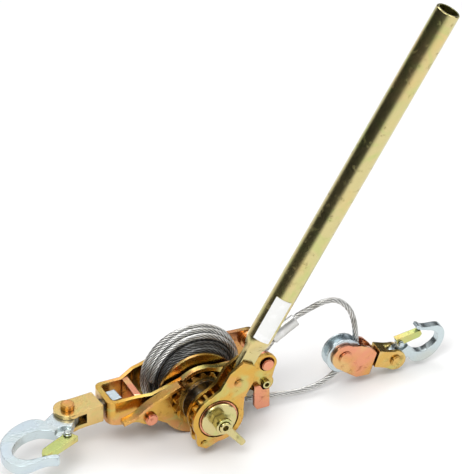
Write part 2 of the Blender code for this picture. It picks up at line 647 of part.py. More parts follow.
def make_drum():
    shoulder = FAR_CHEEK_OUT + 2 * CHEEK_T + YOKE_GAP + GAP
    shaft = turned(
        "drum_shaft",
        [
            (0.0, SHAFT_NEAR_END - 4 * MM),
            (3.2 * MM, SHAFT_NEAR_END - 4 * MM),
            (3.2 * MM, SHAFT_NEAR_END),
            (SHAFT_END_R - 0.8 * MM, SHAFT_NEAR_END),
            (SHAFT_END_R, SHAFT_NEAR_END - 0.8 * MM),
            (SHAFT_END_R, shoulder),
            (SHAFT_R, shoulder),
            (SHAFT_R, -SHAFT_FAR_END + 1 * MM),
            (SHAFT_R - 1 * MM, -SHAFT_FAR_END),
            (0.0, -SHAFT_FAR_END),
        ],
        "silver",
    )
    stand(shaft, 0.0, 0.0, 0.0)
    bore = SHAFT_R + GAP
    core = turned("drum_core", ring_profile(CORE_R, bore, -DRUM_HALF, DRUM_HALF), "gold", steps=24)
    stand(core, 0.0, 0.0, 0.0)
    for name, sign in (("drum_flange_near", 1), ("drum_flange_far", -1)):
        low, high = sorted((sign * (DRUM_HALF + GAP), sign * (DRUM_HALF + GAP + FLANGE_T)))
        flange = turned(name, ring_profile(FLANGE_R, bore, low, high), "gold", steps=32)
        stand(flange, 0.0, 0.0, 0.0)
    make_wound_rope()
    wheel = ratchet_outline(RATCHET_ROOT_R, RATCHET_TIP_R, PAWL_TIP_ANGLE)
    ratchet = plate("holding_ratchet", [wheel, circle((0, 0), bore)], RATCHET_T, "gold")
    stand(ratchet, 0.0, RATCHET_OUT + RATCHET_T / 2, 0.0)
    at = RATCHET_OUT + RATCHET_T + GAP
    disc = turned("friction_disc", ring_profile(FRICTION_R, bore, at, at + FRICTION_T), "black", steps=24)
    stand(disc, 0.0, 0.0, 0.0)
    at += FRICTION_T + GAP
    hub_end = FAR_CHEEK_OUT + CHEEK_T + GAP
    hub = turned(
        "drive_hub",
        [
            (bore, hub_end),
            (HUB_R, hub_end),
            (HUB_R, at + HUB_FLANGE_T),
            (HUB_FLANGE_R, at + HUB_FLANGE_T),
            (HUB_FLANGE_R, at),
            (bore, at),
        ],
        "black",
        steps=24,
    )
    stand(hub, 0.0, 0.0, 0.0)
    drive_t = YOKE_GAP - 3 * GAP
    wheel = ratchet_outline(DRIVE_ROOT_R, DRIVE_TIP_R, HANDLE_TILT - math.radians(2.0))
    drive = plate("drive_ratchet", [wheel, circle((0, 0), bore)], drive_t, "gold")
    stand(drive, 0.0, hub_end + GAP + drive_t / 2, 0.0)
    ring_low = FAR_CHEEK_OUT + CHEEK_T + YOKE_GAP + GAP / 2
    ring_high = shoulder - GAP
    ring = turned("retaining_ring", ring_profile(RING_R, bore, ring_low, ring_high), "rose", steps=24)
    stand(ring, 0.0, 0.0, 0.0)
    cap_low = shoulder
    cap = turned(
        "cap_disc",
        [
            (SHAFT_END_R + GAP, cap_low + CAP_T),
            (CAP_R - 1.0 * MM, cap_low + CAP_T),
            (CAP_R, cap_low + CAP_T - 1.0 * MM),
            (CAP_R, cap_low + GAP),
            (SHAFT_END_R + GAP, cap_low + GAP),
        ],
        "olive",
        steps=24,
    )
    stand(cap, 0.0, 0.0, 0.0)
    nut_low = cap_low + CAP_T + GAP
    nut = plate("shaft_nut", [hexagon(NUT_R), circle((0, 0), SHAFT_END_R + GAP)], NUT_T, "olive")
    stand(nut, 0.0, nut_low + NUT_T / 2, 0.0, math.radians(12.0))
    washer_low = PLATE_OUT + 0.8 * MM
    washer = turned(
        "far_washer", ring_profile(15.0 * MM, bore, -washer_low - 1.8 * MM, -washer_low), "silver"
    )
    stand(washer, 0.0, 0.0, 0.0)
    far_nut = plate("far_nut", [hexagon(15 * MM), circle((0, 0), bore)], 6.0 * MM, "gold")
    stand(far_nut, 0.0, -(washer_low + 1.8 * MM + GAP + 3.0 * MM), 0.0)
    make_feed_lever(nut_low + NUT_T + GAP)


def make_wound_rope():
    """The wound rope: a loose oval coil, wider towards the far flange, with room for the core."""
    far = -DRUM_HALF + GAP
    step = WOUND_STEP_SHARE
    coil = turned(
        "rope_winding",
        [
            (0.0, 11.0 * MM),
            (step - 0.10, 11.0 * MM),
            (step, 8.0 * MM),
            (step, 2.0 * MM),
            (step + 0.03, 0.0),
            (0.97, -2.0 * MM),
            (1.0, -5.0 * MM),
            (1.0, far + 2.0 * MM),
            (0.97, far),
            (0.0, far),
        ],
        "rope",
        steps=32,
    )
    mesh = coil.data
    size = Matrix.Diagonal((WOUND_HALF_X, WOUND_HALF_Z, 1.0, 1.0))
    graph = bpy.context.evaluated_depsgraph_get()
    graph.update()
    solid = bpy.data.meshes.new_from_object(coil.evaluated_get(graph))
    coil.modifiers.clear()
    solid.transform(size)
    solid.transform(Matrix.Translation((WOUND_X, WOUND_Z, 0.0)))
    coil.data = solid
    bpy.data.meshes.remove(mesh)
    solid.name = "rope_winding"
    stand(coil, 0.0, 0.0, 0.0)
    hole = round_cutter("winding_bore", CORE_R + GAP, 60 * MM, steps=24)
    stand(hole, 0.0, 0.0, 0.0)
    combine(coil, hole)


def make_feed_lever(out):
    hub = Vector((0.0, 0.0))
    turn = math.radians(-52.0)
    reach, half = 34.0 * MM, 3.4 * MM
    loop = arc(hub, 9.0 * MM, 25.0, 335.0, 18)
    loop += [(reach - 1.5 * MM, -half), (reach, -half + 1.5 * MM), (reach, half - 1.5 * MM), (reach - 1.5 * MM, half)]
    lever = plate("feed_lever", [loop, circle((0, 0), SHAFT_END_R + GAP, 24)], 4.4 * MM, "olive")
    stand(lever, 0.0, out + 2.2 * MM, 0.0, turn)
    soften(lever, 0.6 * MM)


# ---------------------------------------------------------------- handle

def cheek_outline():
    points = [(CHEEK_TOP, -CHEEK_TOP_HALF_WIDTH), (CHEEK_TOP, CHEEK_TOP_HALF_WIDTH)]
    points += [(NECK_END, NECK_HALF_WIDTH), (NECK_START, NECK_HALF_WIDTH)]
    points += arc((0, 0), CHEEK_R, 50.0, 150.0, 14)
    points += [(-TAB_REACH + 3 * MM, TAB_HALF_WIDTH), (-TAB_REACH, TAB_HALF_WIDTH - 3 * MM)]
    points += [(-TAB_REACH, -TAB_HALF_WIDTH + 3 * MM), (-TAB_REACH + 3 * MM, -TAB_HALF_WIDTH)]
    points += arc((0, 0), CHEEK_R, 210.0, 310.0, 14)
    points += [(NECK_START, -NECK_HALF_WIDTH), (NECK_END, -NECK_HALF_WIDTH)]
    return points


def handle_tube_mesh():
    """Round tube whose lower end is flattened to a tongue; the bore is open at the top end."""
    sides = 24
    half_t = (YOKE_GAP - 2 * GAP) / 2
    stations = [(TONGUE_START, 1.0), (TONGUE_FULL, 1.0)]
    runs = 5
    for i in range(1, runs + 1):
        share = i / runs
        ease = share * share * (3 - 2 * share)
        stations.append((TONGUE_FULL + (TUBE_FULL - TONGUE_FULL) * share, 1.0 - ease))
    stations += [(HANDLE_REACH - 0.8 * MM, 0.0)]
    shell = bmesh.new()

    def ring(at, wide, thick, corner):
        points = []
        for i in range(sides):
            angle = 2 * math.pi * (i + 0.5) / sides
            c, s = math.cos(angle), math.sin(angle)
            x = math.copysign(abs(c) ** corner, c) * thick
            y = math.copysign(abs(s) ** corner, s) * wide
            points.append(shell.verts.new((at, y, x)))
        return points

    rings = []
    for at, flat in stations:
        wide = TUBE_R + (TONGUE_HALF_WIDTH - TUBE_R) * flat
        thick = TUBE_R + (half_t - TUBE_R) * flat
        rings.append(ring(at, wide, thick, 1.0 - 0.65 * flat))
    rings.append(ring(HANDLE_REACH, TUBE_R - 0.8 * MM, TUBE_R - 0.8 * MM, 1.0))
    bore = TUBE_R - TUBE_WALL
    rings.append(ring(HANDLE_REACH, bore, bore, 1.0))
    rings.append(ring(TUBE_FULL + 10 * MM, bore, bore, 1.0))
    for first, second in zip(rings, rings[1:]):
        for i in range(sides):
            j = (i + 1) % sides
            shell.faces.new((first[i], first[j], second[j], second[i]))
    shell.faces.new(rings[0])
    shell.faces.new(rings[-1])
    bmesh.ops.recalc_face_normals(shell, faces=shell.faces)
    mesh = bpy.data.meshes.new("handle_tube")
    shell.to_mesh(mesh)
    shell.free()
    rounded(mesh)
    return mesh


def make_handle():
    middle = FAR_CHEEK_OUT + CHEEK_T + YOKE_GAP / 2
    handle = add_frame("handle_frame", (0.0, 0.0, 0.0), (0.0, -HANDLE_TILT, 0.0))
    tube_piece = add_part("handle_tube", handle_tube_mesh(), "olive", handle)
    stand(tube_piece, 0.0, middle, 0.0)
    tab_hole = circle((-TAB_RIVET_REACH, 0.0), RIVET_R + GAP, 12)
    pin_hole = circle((DRIVE_PIN_REACH, 0.0), RIVET_R + GAP, 12)
    near_out = FAR_CHEEK_OUT + CHEEK_T + YOKE_GAP
    for name, out, hole in (
        ("yoke_cheek_near", near_out, CHEEK_HOLE_R),
        ("yoke_cheek_far", FAR_CHEEK_OUT, HUB_R + 2 * GAP),
    ):
        loops = [cheek_outline(), circle((0, 0), hole), tab_hole, pin_hole]
        cheek = plate(name, loops, CHEEK_T, "gold", handle)
        stand(cheek, 0.0, out + CHEEK_T / 2, 0.0)
    low = FAR_CHEEK_OUT - GAP
    high = near_out + CHEEK_T + GAP
    for name, reach, head in (
        ("cheek_rivet", -TAB_RIVET_REACH, 3.6 * MM),
        ("drive_pawl_rivet", DRIVE_PIN_REACH, 4.6 * MM),
    ):
        stages = [
            (head * 0.7, high + 0.6 * RIVET_HEAD_T, high + RIVET_HEAD_T),
            (head, high, high + 0.6 * RIVET_HEAD_T),
            (RIVET_R, low, high),
            (head, low - RIVET_HEAD_T, low),
        ]
        rivet = turned(name, rod_profile(stages), "silver", handle, steps=16)
        stand(rivet, reach, 0.0, 0.0)
    make_label(handle, middle)
    make_drive_pawl(handle, middle)


def make_label(handle, middle):
    """A blank paper label bent round the tube on the side that faces out and down."""
    angles = [math.radians(-63.0 + 7.0 * step) for step in range(12)]
    inner = TUBE_R + 0.12 * MM
    shell_points = [polar(inner + LABEL_T, a) for a in angles]
    shell_points += [polar(inner, a) for a in reversed(angles)]
    label = plate("handle_label", [shell_points], LABEL_END - LABEL_START, "white", handle)
    label.matrix_local = (
        Matrix.Translation(((LABEL_START + LABEL_END) / 2, -middle, 0.0))
        @ Matrix(((0, 0, 1, 0), (-1, 0, 0, 0), (0, -1, 0, 0), (0, 0, 0, 1)))
    )


def make_drive_pawl(handle, middle):
    """Drive pawl between the cheeks, its origin on the rivet, its tip riding on the drive ratchet."""
    face = math.radians(-2.0 + 1.8)
    pivot = Vector((DRIVE_PIN_REACH, 0.0))
    hub_r = 5.6 * MM
    loop = [Vector(polar(DRIVE_TIP_R + 2 * GAP, face + math.radians(1.0)))]
    loop.append(Vector(polar(DRIVE_TIP_R + 1.4 * MM, face + math.radians(14.0))))
    loop += [Vector(p) for p in reversed(arc(pivot, hub_r, -125.0, 150.0, 12))]
    points = [(p.x - pivot.x, p.y - pivot.y) for p in reversed(loop)]
    hole = circle((0.0, 0.0), RIVET_R + GAP, 12)
    pawl = plate("drive_pawl", [points, hole], YOKE_GAP - 4 * GAP, "gold", handle)
    stand(pawl, pivot.x, middle, pivot.y)


# ---------------------------------------------------------------- hooks

def hook_outline(reach, size, stretch, eye_r, boss, boss_r):
    """Side view of a hook: eye at the origin, bowl round (reach, 0), opening towards +Y."""
    back = [(-30, -12), (-29.6, -19), (-25, -27), (-16, -32.3), (-6, -34.2)]
    bowl = [(6, -32.8), (17, -28), (28, -19), (34.6, -8.5), (36.2, 1), (33.4, 8.6), (27, 13.4)]
    tip = [(19, 17.0), (11, 21.4), (6.4, 26), (4.8, 30), (1.6, 32), (-1.2, 30), (-0.4, 26)]
    mouth = [(4.6, 20.6), (12, 14.6), (19.6, 8.6), (23.6, 2), (24, -5), (20.6, -11.4), (14, -15.6), (5, -17.9)]
    shank = [(-4, -18.4), (-10, -16.4), (-15, -12.8), (-19, -8), (-21, -2), (-22, 4)]
    points = arc((0, 0), eye_r, 75.0, 285.0, 14)
    run = []
    for group, pull in ((back, stretch), (bowl + tip + mouth, 1.0), (shank, stretch)):
        run += [Vector((reach + x * size * pull, y * size, 0.0)) for x, y in group]
    points += [(p.x, p.y) for p in smooth_route([tuple(p) for p in run], 4.6 * size)]
    points += arc(boss, boss_r, max(-60.0, -20.0 * stretch), 185.0, 9)
    return points


def make_hook(side, frame, shape, thick, eye_r, pin_r):
    """Hook, latch, latch pin and spring on the hook's own frame: +X to the bowl, +Y to the opening."""
    reach, size, stretch, boss_x, boss_y = shape
    unit = size / MM
    boss = (boss_x, boss_y)
    boss_r = 6.4 * MM * unit
    boss_half = 1.9 * MM
    latch_pin_r = 2.2 * MM * unit
    outline = hook_outline(reach, size, stretch, eye_r, boss, boss_r)
    holes = [circle((0, 0), pin_r + GAP, 24), circle(boss, latch_pin_r + GAP, 14)]
    hook = plate("hook_" + side, [outline] + holes, thick, "silver", frame)
    soften(hook, 2.2 * MM * unit)
    for label, sign in (("near", 1.0), ("far", -1.0)):
        recess = round_cutter("boss_recess_%s_%s" % (label, side), 13.0 * MM * unit, thick, frame, steps=24)
        recess.location = (boss[0], boss[1], sign * (boss_half + thick / 2))
        combine(hook, recess)
    latch_frame = add_frame("latch_frame_" + side, (boss[0], boss[1], 0.0), (0.0, 0.0, 0.0), frame)
    sheet = 1.2 * MM
    ear_low = boss_half + GAP
    end_x = reach + 3.4 * MM * unit - boss[0]
    end_y = 19.2 * MM * unit - boss[1]
    heel = (-4.0 * MM * unit, boss_r + 3.4 * MM * unit)
    slant = Vector((end_x - heel[0], end_y - heel[1])).normalized()
    inward = Vector((slant.y, -slant.x))
    ear = [heel] + arc((0, 0), 5.0 * MM * unit, 150.0, 300.0, 8)
    ear += [(end_x * 0.60, end_y - 8.6 * MM * unit), (end_x * 0.84, end_y - 10.0 * MM * unit)]
    ear += [(end_x, end_y - 7.0 * MM * unit), (end_x, end_y)]
    hole = circle((0, 0), latch_pin_r + GAP, 14)
    latch = plate("latch_" + side, [ear, hole], 2 * (ear_low + sheet), "gold", latch_frame)
    start = Vector(heel) + inward * sheet - slant * reach
    finish = Vector((end_x, end_y)) + inward * sheet + slant * reach
    channel = [start, start + inward * reach, finish + inward * reach, finish]
    name = "latch_channel_" + side
    tool = make_cutter(name, outline_mesh(name, [channel], 2 * ear_low), latch_frame)
    combine(latch, tool)
    head = 3.4 * MM * unit
    room = 2.2 * MM * unit
    low = -(ear_low + sheet + GAP)
    spring_low = ear_low + sheet + GAP
    top = spring_low + room + GAP
    stages = [(head, top, top + 1.2 * MM), (latch_pin_r, low, top), (head, low - 1.0 * MM, low)]
    pin = turned("latch_pin_" + side, rod_profile(stages), "silver", frame, steps=16)
    pin.location = (boss[0], boss[1], 0.0)
    spring = turned(
        "latch_spring_" + side,
        ring_profile(4.3 * MM * unit, latch_pin_r + GAP, spring_low, spring_low + room),
        "silver",
        frame,
        steps=16,
    )
    spring.location = (boss[0], boss[1], 0.0)


def make_clevis(side, frame, size):
    """Clevis on its own frame: its body and stud hole along +X, slot and pin at the origin, pin along Z."""
    half_width, half_height, slot_half, pin_r, body_back, stud_r, head_t, body_half = size
    outline = arc((0, 0), half_width, 66.0, 294.0, 14)
    outline += [(half_width * 0.95, -body_half), (body_back, -body_half)]
    outline += [(body_back, body_half), (half_width * 0.95, body_half)]
    clevis = plate("clevis_" + side, [outline, circle((0, 0), pin_r + GAP, 20)], 2 * half_height, "gold", frame)
    slot = box_cutter(
        "clevis_slot_" + side,
        (-half_width - 2 * MM, -half_width - 2 * MM, -slot_half),
        (half_width + 0.8 * MM, half_width + 2 * MM, slot_half),
        frame,
    )
    combine(clevis, slot)
    bore = round_cutter("stud_bore_" + side, stud_r + GAP, 40 * MM, frame, steps=20)
    bore.location = (body_back, 0.0, 0.0)
    bore.rotation_euler = (0.0, math.pi / 2, 0.0)
    combine(clevis, bore)
    soften(clevis, 1.2 * MM)
    stages = [
        (pin_r + 1.0 * MM, half_height + head_t, half_height + head_t + 0.8 * MM),
        (pin_r + 2.0 * MM, half_height + GAP, half_height + head_t),
        (pin_r, -half_height - GAP, half_height + GAP),
        (pin_r + 1.2 * MM, -half_height - 1.8 * MM, -half_height - GAP),
    ]
    turned("clevis_pin_" + side, rod_profile(stages), "gold", frame, steps=20)


def make_left_hook():
    """Swivel, clevis and hook at the closed end. The stud stands a few degrees aside in its loose hole."""
    seat_x = END_X + END_T / 2
    aside = math.radians(5.0)
    pin_reach = 41.0 * MM
    place = (seat_x - pin_reach * math.cos(aside), -pin_reach * math.sin(aside), STUD_Z)
    frame = add_frame("clevis_frame_fixed", place, (0.0, 0.0, aside))
    half_width, half_height, slot_half = 14.5 * MM, 10.0 * MM, 5.5 * MM
    pin_r, stud_r, neck_r = 5.0 * MM, 5.0 * MM, 6.1 * MM
    body_back = pin_reach - END_T / 2 - 4.0 * MM
    size = (half_width, half_height, slot_half, pin_r, body_back, stud_r, 5.0 * MM, 12.8 * MM)
    make_clevis("fixed", frame, size)
    inner_face = pin_reach + END_T / 2
    stud = turned(
        "swivel_stud_fixed",
        rod_profile(
            [
                (neck_r, body_back + GAP, inner_face + 14.0 * MM),
                (stud_r, half_width + 2.0 * MM, body_back + GAP),
            ]
        ),
        "silver",
        frame,
        steps=20,
    )
    stud.rotation_euler = (0.0, math.pi / 2, 0.0)
    nut_low, nut_t = inner_face + 3.0 * MM, 10.6 * MM
    side = 8.2 * MM
    square = [(-side, -side), (side, -side), (side, side), (-side, side)]
    nut = plate("swivel_nut_fixed", [square, circle((0, 0), neck_r + GAP, 20)], nut_t, "silver", frame)
    nut.location = (nut_low + nut_t / 2, 0.0, 0.0)
    nut.rotation_euler = (0.0, math.pi / 2, 0.0)
    soften(nut, 1.6 * MM)
    washer = turned(
        "thrust_washer",
        ring_profile(9.4 * MM, neck_r + 0.9 * MM, END_X + END_T + GAP, END_X + END_T + 1.8 * MM),
        "silver",
        steps=20,
    )
    along_x(washer, 0.0, 0.0, STUD_Z)
    yaw = math.radians(180.0 + 36.0) - aside
    hook_frame = add_frame("hook_frame_fixed", (0.0, 0.0, 0.0), (0.0, 0.0, yaw), frame)
    shape = (68.0 * MM, 1.0 * MM, 1.45, 31.5 * MM, 18.5 * MM)
    make_hook("fixed", hook_frame, shape, 10.4 * MM, 12.0 * MM, pin_r)


def make_block():
    frame = add_frame("block_frame", (BLOCK_X, -BLOCK_OUT, BLOCK_Z), (0.0, BLOCK_DROOP, 0.0))
    outer_half = BLOCK_INNER_HALF + BLOCK_PLATE_T
    end_t = 4.0 * MM
    nose = -BLOCK_NOSE_R - 1 * MM
    half = [(nose, outer_half), (BLOCK_END - 2.5 * MM, outer_half), (BLOCK_END, outer_half - 2.5 * MM)]
    inside = [(BLOCK_END - end_t, BLOCK_INNER_HALF), (nose, BLOCK_INNER_HALF)]
    plan = half + [(x, -y) for x, y in reversed(half)] + [(x, -y) for x, y in reversed(inside)] + inside
    strap = plate("block_strap", [plan], 60 * MM, "rose", frame)
    side_loop = arc((0, 0), BLOCK_NOSE_R, 72.0, 262.0, 14)
    side_loop += [(8.5 * MM, -17.6 * MM), (20 * MM, -21.2 * MM), (BLOCK_END + GAP, -16.4 * MM)]
    side_loop += [(BLOCK_END + GAP, 6.5 * MM), (24 * MM, 13.6 * MM), (14 * MM, 14.8 * MM)]
    side = make_cutter("block_side", outline_mesh("block_side", [side_loop], 40 * MM), frame)
    stand(side, 0.0, 0.0, 0.0)
    combine(strap, side, "INTERSECT")
    hole = round_cutter("sheave_pin_hole", 5.0 * MM + GAP, 40 * MM, frame, steps=20)
    stand(hole, 0.0, 0.0, 0.0)
    combine(strap, hole)
    stud_hole = round_cutter("block_stud_hole", 4.9 * MM, 20 * MM, frame, steps=20)
    along_x(stud_hole, BLOCK_END, 0.0, 0.0)
    combine(strap, stud_hole)
    head_r, head_t = 7.4 * MM, 2.0 * MM
    pin = turned(
        "sheave_pin",
        rod_profile(
            [
                (head_r - 1.0 * MM, outer_half + 1.2 * MM, outer_half + head_t),
                (head_r, outer_half + GAP, outer_half + 1.2 * MM),
                (5.0 * MM, -outer_half - GAP, outer_half + GAP),
                (head_r, -outer_half - head_t, -outer_half - GAP),
            ]
        ),
        "rose",
        frame,
        steps=20,
    )
    stand(pin, 0.0, 0.0, 0.0)
    make_sheave(frame)
    make_right_hook(frame, end_t)


def make_sheave(frame):
    half = SHEAVE_T / 2
    groove_r = ROPE_R + 0.8 * MM
    bore = 5.0 * MM + GAP
    profile = [(bore, half), (SHEAVE_R - 0.6 * MM, half), (SHEAVE_R, half - 0.6 * MM)]
    profile.append((SHEAVE_R, groove_r * 1.3))
    for step in range(7):
        angle = math.radians(90.0 + 180.0 * step / 6)
        profile.append((SHEAVE_PITCH_R + groove_r * math.cos(angle), groove_r * math.sin(angle)))
    profile += [(SHEAVE_R, -groove_r * 1.3), (SHEAVE_R, -half + 0.6 * MM)]
    profile += [(SHEAVE_R - 0.6 * MM, -half), (bore, -half)]
    sheave = turned("sheave", profile, "silver", frame, steps=24)
    stand(sheave, 0.0, 0.0, 0.0)


def make_right_hook(block_frame, end_t):
    pin_x = 59.4 * MM
    half_width, half_height, slot_half = 10.8 * MM, 9.2 * MM, 4.6 * MM
    pin_r, stud_r, neck_r = 4.0 * MM, 4.0 * MM, 4.5 * MM
    body_back = pin_x - (BLOCK_END + 1.6 * MM)
    turn = (-math.pi / 2, 0.0, math.pi)
    clevis_frame = add_frame("clevis_frame_moving", (pin_x, 0.0, 0.0), turn, block_frame)
    size = (half_width, half_height, slot_half, pin_r, body_back, stud_r, 2.4 * MM, 9.2 * MM)
    make_clevis("moving", clevis_frame, size)
    inner_face = pin_x - (BLOCK_END - end_t)
    stud = turned(
        "swivel_stud_moving",
        rod_profile(
            [
                (6.2 * MM, inner_face + GAP, inner_face + 3.2 * MM),
                (neck_r, body_back + GAP, inner_face + GAP),
                (stud_r, half_width + 1.6 * MM, body_back + GAP),
            ]
        ),
        "silver",
        clevis_frame,
        steps=20,
    )
    stud.rotation_euler = (0.0, math.pi / 2, 0.0)
    lift = math.radians(20.0) + BLOCK_DROOP
    hook_frame = add_frame("hook_frame_moving", (0.0, 0.0, 0.0), (0.0, 0.0, math.pi + lift), clevis_frame)
    shape = (34.0 * MM, 0.67 * MM, 1.0, 12.5 * MM, 11.8 * MM)
    make_hook("moving", hook_frame, shape, 8.6 * MM, 9.2 * MM, pin_r)


# ---------------------------------------------------------------- assembly

def main():
    global parts, cutters
    clear_scene()
    parts = bpy.data.collections.new("wire_rope_puller")
    cutters = bpy.data.collections.new("cutters")
    bpy.context.scene.collection.children.link(parts)
    bpy.context.scene.collection.children.link(cutters)
    make_frame_strap()
    make_frame_fittings()
    make_pawl()
    make_rope()
    make_drum()
    make_handle()
    make_left_hook()
    make_block()
    for thing in standing:
        thing.location += Vector((DRUM_X, DRUM_Y, DRUM_Z))


main()
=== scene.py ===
"""Wire rope puller: plated steel, stranded rope and springs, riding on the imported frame."""

import json
import math

import bmesh
import bpy
from bpy.props import FloatProperty, FloatVectorProperty, IntProperty, PointerProperty
from mathutils import Matrix, Vector

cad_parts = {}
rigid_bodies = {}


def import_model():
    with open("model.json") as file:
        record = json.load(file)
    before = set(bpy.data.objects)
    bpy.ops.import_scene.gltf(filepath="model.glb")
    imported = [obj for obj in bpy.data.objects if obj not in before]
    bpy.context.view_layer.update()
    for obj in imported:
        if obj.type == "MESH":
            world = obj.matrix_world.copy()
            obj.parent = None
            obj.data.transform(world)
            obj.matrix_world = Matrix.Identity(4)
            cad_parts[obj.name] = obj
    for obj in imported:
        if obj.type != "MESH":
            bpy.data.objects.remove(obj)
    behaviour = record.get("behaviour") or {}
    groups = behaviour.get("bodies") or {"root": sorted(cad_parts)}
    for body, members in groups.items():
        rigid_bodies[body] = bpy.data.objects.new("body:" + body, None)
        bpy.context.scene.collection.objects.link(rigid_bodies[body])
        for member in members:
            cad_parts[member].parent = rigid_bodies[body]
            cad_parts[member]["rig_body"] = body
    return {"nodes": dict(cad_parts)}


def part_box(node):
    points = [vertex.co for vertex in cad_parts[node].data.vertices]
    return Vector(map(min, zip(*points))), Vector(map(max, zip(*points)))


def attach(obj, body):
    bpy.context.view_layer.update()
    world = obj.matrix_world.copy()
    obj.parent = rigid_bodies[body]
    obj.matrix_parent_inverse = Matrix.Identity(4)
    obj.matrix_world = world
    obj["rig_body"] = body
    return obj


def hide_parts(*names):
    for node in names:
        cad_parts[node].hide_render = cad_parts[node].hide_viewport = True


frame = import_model()

bl_info = {
    "name": "Wire rope puller",
    "version": (1, 0, 0),
    "blender": (4, 5, 0),
    "location": "3D View > Sidebar > Puller",
    "description": "Builds the finish, rope and springs of a lever wire rope puller",
    "category": "Object",
}

MM = 0.001
DRUM = Vector((-24.4, 26.25, 43.374)) * MM      # drum axis at the middle of the drum
TIE_BAR = DRUM + Vector((73.0, 0.0, 16.3)) * MM
SHEAVE = DRUM + Vector((161.2, -12.0, -5.0)) * MM
SHEAVE_PITCH_R = 15.5 * MM
EYE_TILT = math.radians(30.0)
EYE_R = 9.6 * MM                                # tie bar, clearance and half a rope
FERRULE_START, FERRULE_LENGTH = 19.5 * MM, 30.5 * MM
WINDING_CENTRE = Vector((3.0, 0.0, 8.3)) * MM
WINDING_HALF_X, WINDING_HALF_Z = 52.0 * MM, 49.5 * MM
WINDING_STEPS = 72                              # points in one turn of the winding
GAP = 0.3 * MM
EYE_SIDE = 3.4 * MM                             # from the ferrule's middle to each leg of the eye
EYE_OPENING = 62.0                              # degrees either side of the ferrule left open
EYE_STEPS = 24
FERRULE_SIDE = 2.4 * MM                         # the free rope's place across the ferrule
ROUTE_SPACING = 3.3 * MM
CURVE_STEPS = 12                                # points of the smooth curve between two chosen ones

WELD = 0.002 * MM
SHARP_ANGLE = math.radians(32.0)
STRAND_RING = 0.34                              # strand centres, as a share of the rope's diameter
STRAND_RADIUS = 0.160
OUTER_SIDES, INNER_SIDES = 6, 5                 # sides of a strand on the drum
INNER_SPACING = 2.6 * MM
SPRING_WIRE_R = 0.55 * MM
SHORT_SPRING = 2.0 * MM

BUMP_DEPTH = 0.2 * MM
BEVEL_SAMPLES, HOLLOW_SAMPLES = 6, 8
LAY_SHADE_TONE = (0.03, 0.028, 0.025)                     # painted shade in the rope's lay

RIGHT = Vector((0.9135, -0.4067, 0.0))          # the picture's right, along the floor
TOWARD = Vector((-0.331, -0.744, 0.581))        # from the tool to the camera
AIM_RIGHT, AIM_UP = 39.2 * MM, 142.7 * MM       # from the drum to the picture's middle
FLOOR_HALF = 6.0
FLOOR_DROP = 0.2 * MM


# ---------------------------------------------------------------- sizes and colours

class PullerRope(bpy.types.PropertyGroup):
    """Sizes of the wire rope."""

    diameter: FloatProperty(
        name="Diameter", description="Outer diameter of the rope", default=6.0 * MM, unit="LENGTH"
    )
    strands: IntProperty(
        name="Strands", description="Strands laid round the core", default=6, min=3, max=8
    )
    lay_length: FloatProperty(
        name="Lay length", description="Length of one turn of a strand", default=34.0 * MM, unit="LENGTH"
    )
    spacing: FloatProperty(
        name="Spacing", description="Distance between rings along the rope", default=1.8 * MM, unit="LENGTH"
    )


class PullerFinish(bpy.types.PropertyGroup):
    """Colours of the plating and how it varies."""

    gold: FloatVectorProperty(
        name="Gold", description="Main tone of yellow plating", subtype="COLOR", default=(0.64, 0.38, 0.08)
    )
    rose: FloatVectorProperty(
        name="Rose", description="Pink tone of the plating", subtype="COLOR", default=(0.74, 0.31, 0.19)
    )
    green: FloatVectorProperty(
        name="Green", description="Green tone of the plating", subtype="COLOR", default=(0.50, 0.56, 0.20)
    )
    olive: FloatVectorProperty(
        name="Olive", description="Tone of the lever tube", subtype="COLOR", default=(0.62, 0.54, 0.26)
    )
    silver: FloatVectorProperty(
        name="Silver", description="Blue-white plating", subtype="COLOR", default=(0.58, 0.66, 0.68)
    )
    patch: FloatProperty(
        name="Patch scale", description="How often the plating's tone changes, per metre", default=17.0
    )
    edge: FloatProperty(
        name="Edge radius", description="Rounding of sheared edges", default=0.5 * MM, unit="LENGTH"
    )


class PullerStage(bpy.types.PropertyGroup):
    """Camera and lights."""

    distance: FloatProperty(
        name="Camera distance", description="From the camera to the tool", default=20.0, unit="LENGTH"
    )
    view_size: FloatProperty(
        name="View size", description="Height that the camera sees", default=0.474, unit="LENGTH"
    )
    key_power: FloatProperty(
        name="Key light", description="Power of the main softbox", default=26.0, unit="POWER"
    )
    fill_power: FloatProperty(
        name="Fill light", description="Power of each of the other softboxes", default=10.0, unit="POWER"
    )
    room: FloatProperty(name="Room light", description="Brightness of the surroundings", default=0.85)


# ---------------------------------------------------------------- shader arithmetic

class Value:
    """A shader socket that takes part in Python arithmetic."""

    def __init__(self, tree, socket):
        self.tree = tree
        self.socket = socket

    def math(self, operation, *others, first=None):
        node = self.tree.nodes.new("ShaderNodeMath")
        node.operation = operation
        values = [self, *others] if first is None else [first, self, *others]
        for socket, value in zip(node.inputs, values):
            join(self.tree, value, socket)
        return Value(self.tree, node.outputs[0])

    def __add__(self, other):
        return self.math("ADD", other)

    def __radd__(self, other):
        return self.math("ADD", first=other)

    def __sub__(self, other):
        return self.math("SUBTRACT", other)

    def __rsub__(self, other):
        return self.math("SUBTRACT", first=other)

    def __mul__(self, other):
        return self.math("MULTIPLY", other)

    def __rmul__(self, other):
        return self.math("MULTIPLY", first=other)

    def __truediv__(self, other):
        return self.math("DIVIDE", other)

    def __rtruediv__(self, other):
        return self.math("DIVIDE", first=other)

    def clamped(self):
        return self.math("MAXIMUM", 0.0).math("MINIMUM", 1.0)

    def between(self, low, high):
        """0 below low, 1 above high and smooth between."""
        share = ((self - low) / (high - low)).clamped()
        return share * share * (3.0 - 2.0 * share)


def join(tree, value, socket):
    if isinstance(value, Value):
        tree.links.new(value.socket, socket)
    else:
        socket.default_value = value


